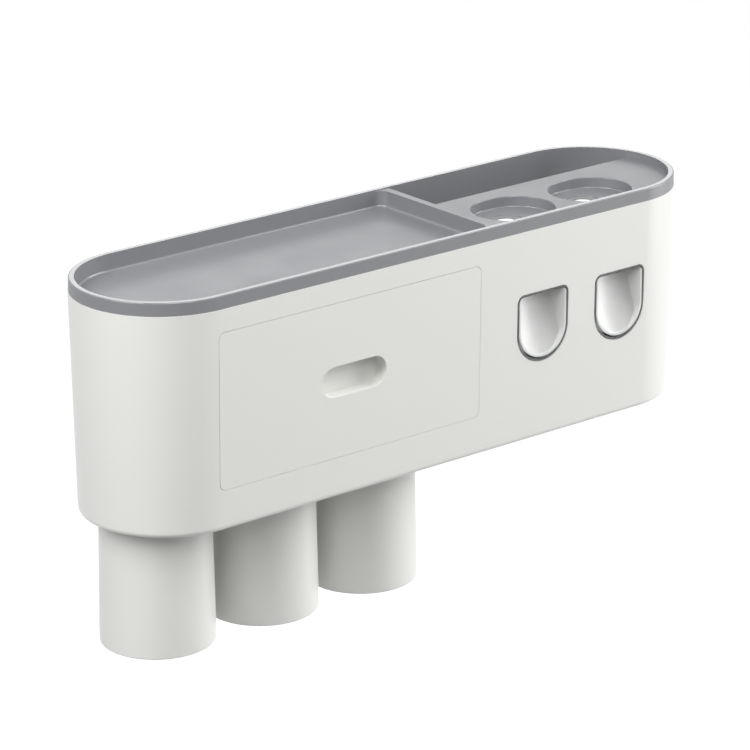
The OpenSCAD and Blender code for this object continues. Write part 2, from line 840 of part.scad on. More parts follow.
module scoop_hollow() {
    depth = scoop_deep + over - paddle_front;
    r_out = scoop_half + over * scoop_slope;
    r_in = scoop_half - depth * scoop_slope;
    intersection() {
        scoop_sweep(0);
        union() {
            translate([0, paddle_front - over, paddle_mid]) rotate([-90, 0, 0])
                cylinder(r1 = r_out, r2 = r_in, h = depth + over);
            translate([0, 0, paddle_mid]) linear_extrude(paddle_top + over / 2 - paddle_mid)
                polygon([
                    [-r_out, paddle_front - over], [r_out, paddle_front - over],
                    [r_in, paddle_front + depth], [-r_in, paddle_front + depth]
                ]);
        }
    }
}

module paddle_outline() {
    intersection() {
        d_shape(paddle_inset);
        translate([0, paddle_mid - window_z - window_w / 2]) d_shape(paddle_inset);
    }
}

module dispenser_body(u) {
    cheek_out = cheek_x + unit_t;
    cheek_mid = cheek_x + unit_t / 2;
    seat_off = hose_r + slide;
    color(clear) to_frame() translate([unit_x(u), 0, 0]) difference() {
        union() {
            intersection() {
                translate([-unit_x(u), 0, 0]) form(0, 0, shell_h);
                upright(front_y - over, bezel_y) d_shape(bezel_gap);
            }
            intersection() {
                translate([-unit_x(u), 0, 0]) form(shell_wall + fit, 0, shell_h);
                upright(front_y - over, bezel_y) d_shape(-flange_w);
            }
            for (side = [-1, 1])
                translate([side * (cheek_x + unit_t / 2) - unit_t / 2, bezel_y - over, unit_z0])
                    cube([unit_t, unit_y1 - bezel_y + over, seal_z - unit_z0]);
            translate([-cheek_mid, bezel_y - over, unit_z0])
                cube([2 * cheek_mid, unit_y1 - bezel_y + over, unit_t]);
            translate([-cheek_mid, unit_y1 - unit_t, unit_z0]) cube([2 * cheek_mid, unit_t, pin_z - unit_z0]);
            translate([0, unit_y1 - unit_t, spring_z]) rotate([90, 0, 0])
                cylinder(r = spring_peg_r, h = 2 * unit_t);
            translate([-cheek_mid, bezel_y - over, ceiling_top - unit_t])
                cube([2 * cheek_mid, pin_y - barrel_r - ceiling_gap - bezel_y + over, unit_t]);
            translate([-cheek_mid, -well_y - seal_flange_r, seal_z - unit_t])
                cube([2 * cheek_mid, unit_y1 + well_y + seal_flange_r, unit_t]);
            translate([0, hose_low.x, hose_low.y]) rotate([hose_tilt, 0, 0])
                translate([-cheek_mid, hose_l * hose_seat_shares[0], seat_off])
                    cube([2 * cheek_mid, hose_l * hose_seat_shares[1], unit_t]);
        }
        upright(front_y - over, bezel_y + over / 2) d_shape(bezel_gap + bezel_t);
        translate([0, pin_y, pin_z]) x_rod(pin_r + round_fit, 2 * cheek_out + over);
        translate([0, nozzle_y, window_z + window_h / 2]) cylinder(r = hose_bore_r + round_fit, h = window_h);
        translate([0, -well_y, seal_z - unit_t - over]) cylinder(r = hose_r + slide, h = unit_t + 2 * over);
        for (side = [-1, 1]) translate([side * unit_boss_x, -well_y, seal_z - unit_t - over])
            cylinder(r = screw_r + fit, h = unit_t + 2 * over);
        translate([0, nozzle_y, ceiling_top]) cylinder(r = hose_r + slide, h = hose_low.y - ceiling_top);
    }
}

module dispenser_screws() {
    color(steel) to_frame() for (u = [0, 1], side = [-1, 1])
        translate([unit_x(u) + side * unit_boss_x, -well_y, seal_z - unit_t]) screw(unit_boss_h);
}

module push_lever(u) {
    color(clear) to_frame() translate([unit_x(u), 0, 0]) difference() {
        union() {
            intersection() {
                scoop_sweep(scoop_t);
                upright(paddle_front, pin_y + barrel_r) paddle_outline();
            }
            translate([0, pin_y, pin_z]) x_rod(barrel_r, 2 * paddle_half);
            translate([-paddle_half, pin_y - barrel_r / 2, paddle_top - barrel_r])
                cube([2 * paddle_half, barrel_r, pin_z - paddle_top + barrel_r]);
            translate([0, pin_y, pin_z]) rotate([atan2(nose_arm.y, nose_arm.x), 0, 0])
                translate([-nose_w / 2, 0, -nose_r / 2]) cube([nose_w, norm(nose_arm), nose_r]);
            translate([0, nose.x, nose.y]) x_rod(nose_r, nose_w);
            translate([0, spring_y0 - 2 * scoop_t, spring_z]) rotate([-90, 0, 0])
                cylinder(r = spring_peg_r, h = 3 * scoop_t);
        }
        scoop_hollow();
        translate([0, pin_y, pin_z]) x_rod(pin_r + lever_fit, window_w);
    }
}

module lever_pin(u) {
    color(steel) to_frame() translate([unit_x(u), pin_y, pin_z]) x_rod(pin_r, 2 * (cheek_x + unit_t));
}

module hose_run(r, grow) {
    translate([0, hose_low.x, hose_end_z - grow]) cylinder(r = r, h = hose_low.y - hose_end_z + grow);
    translate([0, hose_low.x, hose_low.y]) {
        sphere(r);
        rotate([hose_tilt - 90, 0, 0]) cylinder(r = r, h = hose_l);
    }
    translate([0, hose_high.x, hose_high.y]) {
        sphere(r);
        cylinder(r = r, h = seal_z - hose_high.y + grow);
    }
}

module pump_hose(u) {
    color(soft_white) to_frame() translate([unit_x(u), 0, 0]) difference() {
        hose_run(hose_r, 0);
        hose_run(hose_bore_r, over);
    }
}

module nozzle(u) {
    bore = hose_bore_r / 2;
    plug_r = hose_bore_r - round_fit;
    color(soft_white) to_frame() translate([unit_x(u), nozzle_y, 0]) difference() {
        union() {
            translate([0, 0, ceiling_top]) cylinder(r = hose_r, h = collar_t);
            translate([0, 0, ceiling_top]) cylinder(r = plug_r, h = hose_low.y - ceiling_top);
            translate([0, 0, ceiling_top - 2 * unit_t])
                cylinder(r1 = plug_r - slide, r2 = plug_r, h = 2 * unit_t);
        }
        translate([0, 0, window_z]) cylinder(r = bore, h = casing_h);
    }
}

module tube_seal(u) {
    bore = hose_bore_r / 2;
    plug_r = neck_hole_r - round_fit;
    plug_z = neck_z - round_fit;
    color(soft_white) to_frame() translate([unit_x(u), -well_y, 0]) difference() {
        union() {
            translate([0, 0, seal_z]) cylinder(r = seal_flange_r, h = seal_flange_t);
            translate([0, 0, seal_z]) cylinder(r = plug_r, h = plug_z - seal_z);
            translate([0, 0, seal_z - spigot_l]) cylinder(r = hose_bore_r - round_fit, h = spigot_l + over);
        }
        translate([0, 0, seal_z - spigot_l - over]) cylinder(r = bore, h = casing_h);
        translate([0, 0, seal_z + over])
            cylinder(r1 = bore, r2 = plug_r - over, h = plug_z - seal_z - over + round_fit);
    }
}

// Wire wound round the y axis
function coil_centre(i) = let (t = i / rings) [
    spring_r * cos(360 * t),
    spring_y0 + (spring_y1 - spring_y0) * t / spring_turns,
    spring_z + spring_r * sin(360 * t)];
function coil_ring(i) = [for (s = [0:sides - 1]) let (a = 360 * i / rings, b = 360 * s / sides)
    coil_centre(i) + wire_r * [cos(b) * cos(a), sin(b), cos(b) * sin(a)]];
function coil_gap() = min([for (i = [0:rings * (spring_turns - 1)], j = [i + rings / 2:rings * spring_turns])
    norm(coil_centre(i) - coil_centre(j))]) - 2 * wire_r;

module return_spring(u) {
    count = rings * spring_turns;
    points = [for (i = [0:count]) each coil_ring(i)];
    faces = concat(
        [for (i = [0:count - 1], s = [0:sides - 1])
            [i * sides + s, i * sides + (s + 1) % sides, (i + 1) * sides + s]],
        [for (i = [0:count - 1], s = [0:sides - 1])
            [i * sides + (s + 1) % sides, (i + 1) * sides + (s + 1) % sides, (i + 1) * sides + s]],
        [for (s = [1:sides - 2]) [0, s + 1, s]],
        [for (s = [1:sides - 2]) [count * sides, count * sides + s, count * sides + s + 1]]);
    echo(spring_gap = coil_gap());
    color(steel) to_frame() translate([unit_x(u), 0, 0]) polyhedron(points, faces);
}

module plate_outline(inset) {
    translate([-plate_w / 2 + inset, mount_z - plate_h / 2 + inset])
        rounded(plate_w - 2 * inset, plate_h - 2 * inset, plate_r);
}

module wall_screw_holes() {
    for (end = [-1, 1]) translate([0, plate_y - over, mount_z + end * screw_pitch / 2]) rotate([-90, 0, 0])
        cylinder(r = screw_hole_r, h = plate_t + pad_t + 2 * over);
}

module wall_plate(side) {
    color(white) to_frame() translate([side * plate_pitch / 2, 0, 0]) difference() {
        union() {
            upright(plate_y, plate_y + plate_t) plate_outline(0);
            translate([-hook_w / 2, hook_y, hook_z - hook_stem]) {
                cube([hook_w, plate_y - hook_y + over, hook_stem]);
                cube([hook_w, hook_t, hook_stem + hook_lip]);
            }
        }
        wall_screw_holes();
    }
}

module adhesive_pad(side) {
    color(pad_grey) to_frame() translate([side * plate_pitch / 2, 0, 0]) difference() {
        upright(wall_y - pad_t, wall_y) plate_outline(pad_inset);
        wall_screw_holes();
    }
}

casing();
top_tray();
dispenser_deck();
deep_bin();
base_plate();
back_panel();
panel_screws();
drawer_bay();
bay_screws();
drawer_front();
drawer_box();
cup(0);  // cup_1
cup(1);  // cup_2
cup(2);  // cup_3
cup_disc(0);  // cup_disc_1
cup_disc(1);  // cup_disc_2
cup_disc(2);  // cup_disc_3
seat_magnets();
dispenser_body(0);  // dispenser_body_1
dispenser_body(1);  // dispenser_body_2
push_lever(0);  // push_lever_1
push_lever(1);  // push_lever_2
lever_pin(0);  // lever_pin_1
lever_pin(1);  // lever_pin_2
pump_hose(0);  // pump_hose_1
pump_hose(1);  // pump_hose_2
nozzle(0);  // nozzle_1
nozzle(1);  // nozzle_2
tube_seal(0);  // tube_seal_1
tube_seal(1);  // tube_seal_2
return_spring(0);  // return_spring_1
return_spring(1);  // return_spring_2
dispenser_screws();
wall_plate(-1);  // wall_plate_left
wall_plate(1);  // wall_plate_right
adhesive_pad(-1);  // adhesive_pad_left
adhesive_pad(1);  // adhesive_pad_right
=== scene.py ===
import math

import bmesh
import bpy
from mathutils import Matrix, Vector


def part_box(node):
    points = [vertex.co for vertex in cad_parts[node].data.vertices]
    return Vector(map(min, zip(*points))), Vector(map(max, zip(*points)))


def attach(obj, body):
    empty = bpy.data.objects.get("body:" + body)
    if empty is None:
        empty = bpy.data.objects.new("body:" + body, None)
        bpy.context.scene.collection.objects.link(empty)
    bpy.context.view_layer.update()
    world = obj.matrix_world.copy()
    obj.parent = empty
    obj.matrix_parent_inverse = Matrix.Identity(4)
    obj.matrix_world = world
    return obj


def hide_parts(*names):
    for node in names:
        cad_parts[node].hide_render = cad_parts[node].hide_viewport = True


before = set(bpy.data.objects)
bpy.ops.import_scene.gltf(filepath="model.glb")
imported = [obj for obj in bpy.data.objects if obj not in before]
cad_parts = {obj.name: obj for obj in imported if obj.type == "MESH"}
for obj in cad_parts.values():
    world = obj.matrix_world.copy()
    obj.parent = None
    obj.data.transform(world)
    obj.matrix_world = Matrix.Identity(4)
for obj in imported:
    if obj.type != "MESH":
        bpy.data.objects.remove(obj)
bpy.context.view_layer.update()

mm = 0.001

# The casing stands on its foot: x along it, y from front to back, z up
casingLow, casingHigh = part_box("casing")
foot = Vector((0, (casingLow.y + casingHigh.y) / 2, casingLow.z))
print("stage: frame loaded")

# Camera
camera = {
    "round": -39.346,      # degrees from straight ahead, minus is from the left
    "above": 19.443,       # degrees above the horizon
    "roll": -0.213,
    "away": 1.9863,        # metres
    "target": (-0.0064, -0.0485, -0.02626),
    "lens": 181.416,
    "sensor": 36,
}


def direction(roundAngle, aboveAngle):
    a = math.radians(roundAngle)
    e = math.radians(aboveAngle)
    return Vector((math.sin(a) * math.cos(e), -math.cos(a) * math.cos(e), math.sin(e)))


camData = bpy.data.cameras.new("camera")
camData.lens = camera["lens"]
camData.sensor_width = camera["sensor"]
cam = bpy.data.objects.new("camera", camData)
bpy.context.collection.objects.link(cam)
back = direction(camera["round"], camera["above"])
cam.location = Vector(camera["target"]) + back * camera["away"]
looking = (-back).to_track_quat("-Z", "Y").to_matrix()
cam.rotation_euler = (looking @ Matrix.Rotation(math.radians(camera["roll"]), 3, "Z")).to_euler()
bpy.context.scene.camera = cam
bpy.context.scene.view_settings.view_transform = "Standard"
print("stage: camera")


# Materials. Their colours are sRGB hex values, turned to linear here
def hexColour(text):
    values = []
    for i in (1, 3, 5):
        c = int(text[i:i + 2], 16) / 255
        values.append(c / 12.92 if c <= 0.04045 else ((c + 0.055) / 1.055) ** 2.4)
    return (*values, 1)


def addNode(tree, kind, settings=None, inputs=None):
    node = tree.nodes.new(kind)
    for name, value in (settings or {}).items():
        setattr(node, name, value)
    for name, value in (inputs or {}).items():
        if isinstance(value, bpy.types.NodeSocket):
            tree.links.new(value, node.inputs[name])
        else:
            node.inputs[name].default_value = value
    return node


def newMaterial(name):
    mat = bpy.data.materials.new(name)
    mat.use_nodes = True
    mat.node_tree.nodes.clear()
    return mat, mat.node_tree


def finishMaterial(tree, shader):
    addNode(tree, "ShaderNodeOutputMaterial", None, {"Surface": shader.outputs[0]})


grainLook = {
    "detail": 2.0,
    "strength": 0.6,
    "patch": 30,           # mm, size of the patches of more and less gloss
    "patchLow": 0.3,       # noise values between which the gloss changes
    "patchHigh": 0.7,
    "edgeTilt": 0.55,      # a rounded edge faces up by this, give or take the spread
    "edgeSpread": 0.42,
    "milkDepth": 6,        # mm that light gets into a milky plastic
}


# A moulded surface: grain of one size in millimetres, as bump, and patches of more and less gloss.
# The real grain is finer than a pixel, so it is drawn as coarse as it needs to show.
# With a polish, rounded edges and what lies above its height are smoother
def plastic(name, colour, rough, grainSize, grainDepth, roughSpread=0.04, ior=1.5, clear=0.0,
            milky=0.0, polish=None):
    mat, tree = newMaterial(name)
    coord = addNode(tree, "ShaderNodeTexCoord")
    grain = addNode(tree, "ShaderNodeTexNoise", None,
                    {"Vector": coord.outputs["Object"], "Scale": 1 / (grainSize * mm),
                     "Detail": grainLook["detail"]})
    patches = addNode(tree, "ShaderNodeTexNoise", None,
                      {"Vector": coord.outputs["Object"], "Scale": 1 / (grainLook["patch"] * mm),
                       "Detail": grainLook["detail"]})
    bump = addNode(tree, "ShaderNodeBump", None,
                   {"Height": grain.outputs["Fac"], "Strength": grainLook["strength"],
                    "Distance": grainDepth * mm})
    gloss = addNode(tree, "ShaderNodeMapRange", None,
                    {"Value": patches.outputs["Fac"],
                     "From Min": grainLook["patchLow"], "From Max": grainLook["patchHigh"],
                     "To Min": rough - roughSpread, "To Max": rough + roughSpread})
    if polish:
        height = addNode(tree, "ShaderNodeSeparateXYZ", None, {0: coord.outputs["Object"]})
        above = addNode(tree, "ShaderNodeMath", {"operation": "GREATER_THAN"},
                        {0: height.outputs["Z"], 1: polish["from"]})
        facing = addNode(tree, "ShaderNodeSeparateXYZ", None, {0: coord.outputs["Normal"]})
        tilted = addNode(tree, "ShaderNodeMath", {"operation": "COMPARE"},
                         {0: facing.outputs["Z"], 1: grainLook["edgeTilt"], 2: grainLook["edgeSpread"]})
        smooth = addNode(tree, "ShaderNodeMath", {"operation": "MAXIMUM"},
                         {0: above.outputs[0], 1: tilted.outputs[0]})
        gloss = addNode(tree, "ShaderNodeMapRange", None,
                        {"Value": smooth.outputs[0], "To Min": gloss.outputs["Result"],
                         "To Max": polish["rough"]})
    shader = addNode(tree, "ShaderNodeBsdfPrincipled", None,
                     {"Base Color": hexColour(colour), "Roughness": gloss.outputs["Result"],
                      "IOR": ior, "Transmission Weight": clear, "Normal": bump.outputs["Normal"],
                      "Subsurface Weight": milky, "Subsurface Radius": (1, 1, 1),
                      "Subsurface Scale": grainLook["milkDepth"] * mm})
    finishMaterial(tree, shader)
    return mat


rimPolish = {
    "band": 0.45,          # mm below the rim's top, which takes in its rounded edges
    "rough": 0.13,
}
rimPolish["from"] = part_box("top_tray")[1].z - rimPolish["band"] * mm

# A lightly blasted mould: an even satin with broad, soft highlights
whiteAbs = plastic("white ABS, satin moulding", "#e7e7e4", rough=0.32, grainSize=0.9, grainDepth=0.01)
# A spark-eroded mould: matt faces that spread the light, and edges that draw a thin bright line
greyAbs = plastic("grey ABS, fine spark-eroded moulding with polished edges", "#818285",
                  rough=0.42, grainSize=0.8, grainDepth=0.015, polish=rimPolish)
# A plain mould: duller than the white shell, so the inside stays quiet
innerPlastic = plastic("light grey ABS, plain moulding", "#b9bbbd", rough=0.45, grainSize=1.2,
                       grainDepth=0.02)
# Moulded rubber: a soft sheen and no clear reflection
silicone = plastic("white silicone rubber, moulded", "#f0f0ec", rough=0.5, grainSize=1.5, grainDepth=0.02)
# Cut foam: quite matt, with an open tooth
foamPad = plastic("white foam, cut", "#d9d9d6", rough=0.9, grainSize=0.5, grainDepth=0.1)
# A plated surface: light grey, with a little more shine than the plastics beside it
zincSteel = plastic("zinc-plated steel", "#a9adb2", rough=0.3, grainSize=0.6, grainDepth=0.01)
# A polished mould: clear, with crisp reflections, and dark where it turns away
clearPs = plastic("clear polystyrene, polished moulding", "#dfe3e3", rough=0.08, grainSize=3,
                  grainDepth=0.005, roughSpread=0.02, ior=1.59, clear=0.92)
# The same with milk in it: light goes in and comes out again, so the scoop shades softly
milkyPs = plastic("milky polystyrene, polished moulding", "#dfe0de", rough=0.24, grainSize=3,
                  grainDepth=0.01, roughSpread=0.03, ior=1.59, clear=0.06, milky=0.8)

slotMaterials = {
    "white_shell": whiteAbs,
    "grey_top": greyAbs,
    "inner_plastic": innerPlastic,
    "clear_plastic": clearPs,
    "silicone": silicone,
    "zinc_steel": zincSteel,
    "foam_pad": foamPad,
}
nodeSlots = {
    "white_shell": ["casing", "drawer_front", "cup_1", "cup_2", "cup_3", "base_plate",
                    "wall_plate_left", "wall_plate_right"],
    "grey_top": ["top_tray", "dispenser_deck", "deep_bin"],
    "inner_plastic": ["back_panel", "drawer_bay", "drawer_box"],
    "clear_plastic": ["dispenser_body_1", "dispenser_body_2", "push_lever_1", "push_lever_2"],
    "silicone": ["pump_hose_1", "pump_hose_2", "nozzle_1", "nozzle_2", "tube_seal_1", "tube_seal_2"],
    "foam_pad": ["adhesive_pad_left", "adhesive_pad_right"],
}
materialOf = {}
for slot, names in nodeSlots.items():
    for name in names:
        materialOf[name] = slotMaterials[slot]
materialOf["push_lever_1"] = materialOf["push_lever_2"] = milkyPs
for name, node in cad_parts.items():
    node.data.materials.clear()
    node.data.materials.append(materialOf.get(name, zincSteel))
print("stage: materials")

# Making tools. Sizes are millimetres from the middle of the casing's foot
over = 1.0            # a form that cuts stands this far past what it cuts
past = 5.0            # the same in front of the casing and behind it
touch = 0.02          # places this close count as one
sideTouch = 0.05      # and these lie on the casing's side
rimTouch = 0.1        # and these on the rim
hair = 0.001          # keeps a full half-round from closing the side between its corners; also a weld
sharpAngle = 50       # degrees: edges sharper than this are bevelled
smoothAngle = 32      # degrees: edges flatter than this are shaded round
edgeSteps = 2         # faces across such a bevel
xAxis, yAxis, zAxis = range(3)


def place(x, y, z):
    return foot + Vector((x, y, z)) * mm


def spot(co):
    return (co - foot) / mm


def span(node):
    low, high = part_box(node)
    return spot(low), spot(high)


def editing(piece):
    bpy.ops.object.select_all(action="DESELECT")
    bpy.context.view_layer.objects.active = piece
    piece.select_set(True)
    bpy.ops.object.mode_set(mode="EDIT")


def doneEditing():
    bpy.ops.object.mode_set(mode="OBJECT")


# Selects the vertices or edges for which the test holds, and counts them
def pick(piece, kind, test):
    bpy.ops.mesh.select_mode(type=kind)
    bpy.ops.mesh.select_all(action="DESELECT")
    mesh = bmesh.from_edit_mesh(piece.data)
    parts = mesh.verts if kind == "VERT" else mesh.edges
    found = [part for part in parts if test(part)]
    for part in found:
        part.select_set(True)
    mesh.select_flush_mode()
    bmesh.update_edit_mesh(piece.data)
    return len(found)


def roundEdges(piece, test, radius, segments=4):
    editing(piece)
    if pick(piece, "EDGE", test):
        bpy.ops.mesh.bevel(offset=radius * mm, segments=segments, affect="EDGES", clamp_overlap=True)
    doneEditing()


def edgeSpots(edge):
    return [spot(v.co) for v in edge.verts]


def allEnds(edge, test):
    return all(test(p) for p in edgeSpots(edge))


def allAt(edge, axis, value):
    return allEnds(edge, lambda p: abs(p[axis] - value) < touch)


def isSharp(edge):
    return len(edge.link_faces) == 2 and edge.calc_face_angle(0) > math.radians(sharpAngle)


def isUpright(edge):
    a, b = edgeSpots(edge)
    return abs(a.z - b.z) > over


def alongY(edge):
    a, b = edgeSpots(edge)
    return abs(a.x - b.x) < touch and abs(a.z - b.z) < touch


# A round bar drawn apart along x into the casing's plan, with its own taper
def longForm(name, radiusLow, radiusHigh, z0, z1, run, corners=160, centre=(0, 0)):
    bpy.ops.object.select_all(action="DESELECT")
    bpy.ops.mesh.primitive_cone_add(vertices=corners, radius1=radiusLow * mm, radius2=radiusHigh * mm,
                                    depth=(z1 - z0) * mm, location=place(0, 0, (z0 + z1) / 2),
                                    rotation=(0, 0, math.pi / corners))
    piece = bpy.context.object
    piece.name = name
    bpy.ops.object.transform_apply()
    editing(piece)
    for side in (-1, 1):
        pick(piece, "VERT", lambda v: v.co.x * side > 0)
        bpy.ops.transform.translate(value=(side * run * mm, 0, 0))
    bpy.ops.mesh.select_all(action="SELECT")
    bpy.ops.transform.translate(value=(centre[0] * mm, centre[1] * mm, 0))
    doneEditing()
    return piece


def block(name, x, y, z):
    bpy.ops.object.select_all(action="DESELECT")
    bpy.ops.mesh.primitive_cube_add(size=mm, location=place(sum(x) / 2, sum(y) / 2, sum(z) / 2))
    piece = bpy.context.object
    piece.name = name
    piece.scale = (x[1] - x[0], y[1] - y[0], z[1] - z[0])
    bpy.ops.object.transform_apply()
    return piece


# A block whose edges along y are rounded, each corner with its own radius: low ones first
def cushionBlock(name, x, y, z, lowRadius, highRadius, segments=12):
    piece = block(name, x, y, z)
    middle = sum(z) / 2
    for radius, side in ((lowRadius, -1), (highRadius, 1)):
        roundEdges(piece, lambda e: alongY(e) and (edgeSpots(e)[0].z - middle) * side > 0, radius, segments)
    return piece


# A turned piece: a ring is extruded and sized from point to point of its section
def turned(name, centre, section, corners=96):
    bpy.ops.object.select_all(action="DESELECT")
    start = place(centre[0], centre[1], section[0][1])
    bpy.ops.mesh.primitive_circle_add(vertices=corners, radius=section[0][0] * mm, location=start)
    piece = bpy.context.object
    piece.name = name
    bpy.ops.object.transform_apply()
    editing(piece)
    bpy.ops.mesh.select_all(action="SELECT")
    for (r0, z0), (r1, z1) in zip(section, section[1:]):
        bpy.ops.mesh.extrude_region_move(TRANSFORM_OT_translate={"value": (0, 0, (z1 - z0) * mm)})
        bpy.ops.transform.resize(value=(r1 / r0, r1 / r0, 1), center_override=place(centre[0], centre[1], z1))
    doneEditing()
    return piece


# Closes the open rings of a turned piece: one face when they differ, a seam when they meet
def closeRings(piece):
    editing(piece)
    bpy.ops.mesh.select_all(action="SELECT")
    bpy.ops.mesh.remove_doubles(threshold=hair / 2 * mm)
    bpy.ops.mesh.fill_holes(sides=0)
    bpy.ops.mesh.select_all(action="SELECT")
    bpy.ops.mesh.normals_make_consistent(inside=False)
    doneEditing()
    return piece


def combine(piece, other, operation):
    step = piece.modifiers.new(operation.lower(), "BOOLEAN")
    step.operation = operation
    step.object = other
    step.solver = "EXACT"
    bpy.ops.object.select_all(action="DESELECT")
    bpy.context.view_layer.objects.active = piece
    bpy.ops.object.modifier_apply(modifier=step.name)
    bpy.data.objects.remove(other)
    return piece


def cut(piece, other):
    return combine(piece, other, "DIFFERENCE")


# Keeps what lies on the far side of a plane square to an axis
def keepPast(piece, axis, at, side):
    normal = Vector((0, 0, 0))
    normal[axis] = side
    point = Vector((0, 0, 0))
    point[axis] = at
    editing(piece)
    bpy.ops.mesh.select_all(action="SELECT")
    bpy.ops.mesh.bisect(plane_co=place(*point), plane_no=normal, use_fill=True, clear_inner=True)
    doneEditing()


# A copy of a CAD node's mesh, its loose triangles merged
def nodeCopy(node, name):
    piece = bpy.data.objects.new(name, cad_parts[node].data.copy())
    bpy.context.collection.objects.link(piece)
    editing(piece)
    bpy.ops.mesh.select_all(action="SELECT")
    bpy.ops.mesh.remove_doubles(threshold=hair * mm)
    bpy.ops.mesh.normals_make_consistent(inside=False)
    doneEditing()
    return piece


# Points of a round stretch of a section, angles in degrees
def arc(cx, cz, radius, a0, a1, steps):
    points = []
    for i in range(steps + 1):
        a = math.radians(a0 + (a1 - a0) * i / steps)
        points.append((cx + radius * math.cos(a), cz + radius * math.sin(a)))
    return points


# Bevels what is still sharp, smooths by angle and hands the piece to its body
def finishPiece(piece, slot, nodes, body, edge=0.0, look=None):
    bpy.ops.object.select_all(action="DESELECT")
    bpy.context.view_layer.objects.active = piece
    piece.select_set(True)
    if edge:
        step = piece.modifiers.new("edges", "BEVEL")
        step.width = edge * mm
        step.segments = edgeSteps
        step.limit_method = "ANGLE"
        step.angle_limit = math.radians(sharpAngle)
        step.miter_outer = "MITER_SHARP"
        bpy.ops.object.modifier_apply(modifier=step.name)
    bpy.ops.object.shade_smooth_by_angle(angle=math.radians(smoothAngle))
    step = piece.modifiers.new("normals", "WEIGHTED_NORMAL")
    step.keep_sharp = True
    bpy.ops.object.modifier_apply(modifier=step.name)
    piece.data.materials.clear()
    piece.data.materials.append(look or slotMaterials[slot])
    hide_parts(*nodes)
    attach(piece, body)


# Casing: a white shell with a drafted wall, its openings cut through
casing = {
    "wall": 2.0,
    "draft": 1.9,
    "footRadius": 3.0,
    "lip": 2.0,
    "lipWidth": 1.0,
    "edge": 0.35,
    "windowTop": 82.5,
    "windowCorner": 4.6,
    "leastCorner": 1.2,
    "windowWidth": 36.0,
    "windowHeight": 39.5,
    "openingCorner": 3.8,
    "openingReach": 2.0,   # edges up to this far past the drawer are rounded as its opening is
    "backWidth": 244.0,
    "backLow": 16.0,
    "backHigh": 95.0,
}
caseLow, caseHigh = span("casing")
endRadius = caseHigh.y
run = caseHigh.x - endRadius
shellTop = caseHigh.z
frontY = caseLow.y
windowTop = casing["windowTop"]
unitMiddles = [sum(p.x for p in span(name)) / 2 for name in ("push_lever_1", "push_lever_2")]

# Drawer front and its finger pull
drawerValues = {
    "gap": 0.3,
    "grow": 0.1,           # drawn nearly closed, as the photo shows no dark gap
    "corner": 3.8,
    "blank": 8.0,          # depth of the block that the front is cut from
    "skin": 2.4,
    "edge": 0.75,
    "openingEdge": 0.55,
    "pullWidth": 42.4,
    "pullHeight": 16.5,
    "pullDepth": 9.0,
    "pullBowl": 4.5,
    "pullWall": 1.6,
    "pullSunk": 0.2,
    "pullShift": 0.8,
    "pullDrop": 0.4,
    "pullEdge": 1.4,
    "pullReach": (30, 15),  # an edge this close to the front's middle belongs to the pull
}
drawerLow, drawerHigh = span("drawer_front")


# Radius of the casing's drafted side at a height, drawn in by an inset
def sideRadius(z, inset=0.0):
    return endRadius - inset - casing["draft"] * max(0, 1 - z / shellTop)


def draftedForm(name, inset, z0, z1):
    return longForm(name, sideRadius(z0, inset), sideRadius(z1, inset), z0, z1, run)


# A block with the window's D outline, drawn in by an inset
def windowBlock(name, middle, y, inset):
    top = windowTop - inset
    half = casing["windowWidth"] / 2 - inset
    return cushionBlock(name, (middle - half, middle + half), y,
                        (top - casing["windowHeight"] + 2 * inset, top), half - hair,
                        max(casing["windowCorner"] - inset, casing["leastCorner"]), segments=20)


# Distance from the line between the centres of the casing's round ends
def spineDistance(p):
    return math.hypot(max(abs(p.x) - run, 0), p.y)


# A sharp edge on the casing's outer side, or sunk below it
def onOuterSide(edge, sunk=0.0):
    onSide = lambda p: abs(spineDistance(p) - sideRadius(p.z) + sunk) < sideTouch
    return isSharp(edge) and allEnds(edge, onSide)


def makeCasing():
    shell = draftedForm("white_casing", 0, 0, shellTop)
    roundEdges(shell, lambda e: allAt(e, zAxis, 0), casing["footRadius"], segments=6)
    cut(shell, draftedForm("inside", casing["wall"], casing["lip"], shellTop + over))
    lipRadius = sideRadius(casing["footRadius"]) - casing["footRadius"] - casing["lipWidth"]
    cut(shell, longForm("lip", lipRadius, lipRadius, -over, casing["lip"] + over, run))
    gap = drawerValues["gap"]
    corner = casing["openingCorner"]
    cut(shell, cushionBlock("opening", (drawerLow.x - gap, drawerHigh.x + gap), (frontY - past, frontY / 2),
                            (drawerLow.z - gap, drawerHigh.z + gap), corner, corner))
    for middle in unitMiddles:
        cut(shell, windowBlock("window", middle, (frontY - past, frontY / 2), 0))
    half = casing["backWidth"] / 2
    cut(shell, cushionBlock("back", (-half, half), (endRadius / 2, endRadius + past),
                            (casing["backLow"], casing["backHigh"]), corner, corner))
    reach = casing["openingReach"]
    leftOfWindows = lambda e: allEnds(e, lambda p: p.x < drawerHigh.x + reach and p.z > drawerLow.z - reach)
    roundEdges(shell, lambda e: onOuterSide(e) and leftOfWindows(e)
               and edgeSpots(e)[0].z < drawerHigh.z + reach, drawerValues["openingEdge"])
    roundEdges(shell, lambda e: onOuterSide(e) and not leftOfWindows(e), casing["edge"], segments=3)
    finishPiece(shell, "white_shell", ["casing"], "casing")


makeCasing()
print("stage: casing")

# Grey top: rim, flat tray and divider are one piece
tray = {
    "rim": 3.5,
    "outerRadius": 0.7,
    "innerRadius": 0.5,
    "depth": 9.5,
    "fillet": 1.5,
    "corner": 6.0,
    "dividerLow": 34.85,
    "dividerHigh": 39.15,
    "dividerDrop": 0.6,
    "skirtInset": 2.2,
}
trayLow, trayHigh = span("top_tray")
rimTop = trayHigh.z
bandRadius = trayHigh.y
innerRadius = endRadius - tray["rim"]


def rimSpace(name, z0, z1):
    return longForm(name, innerRadius, innerRadius, z0, z1, run)


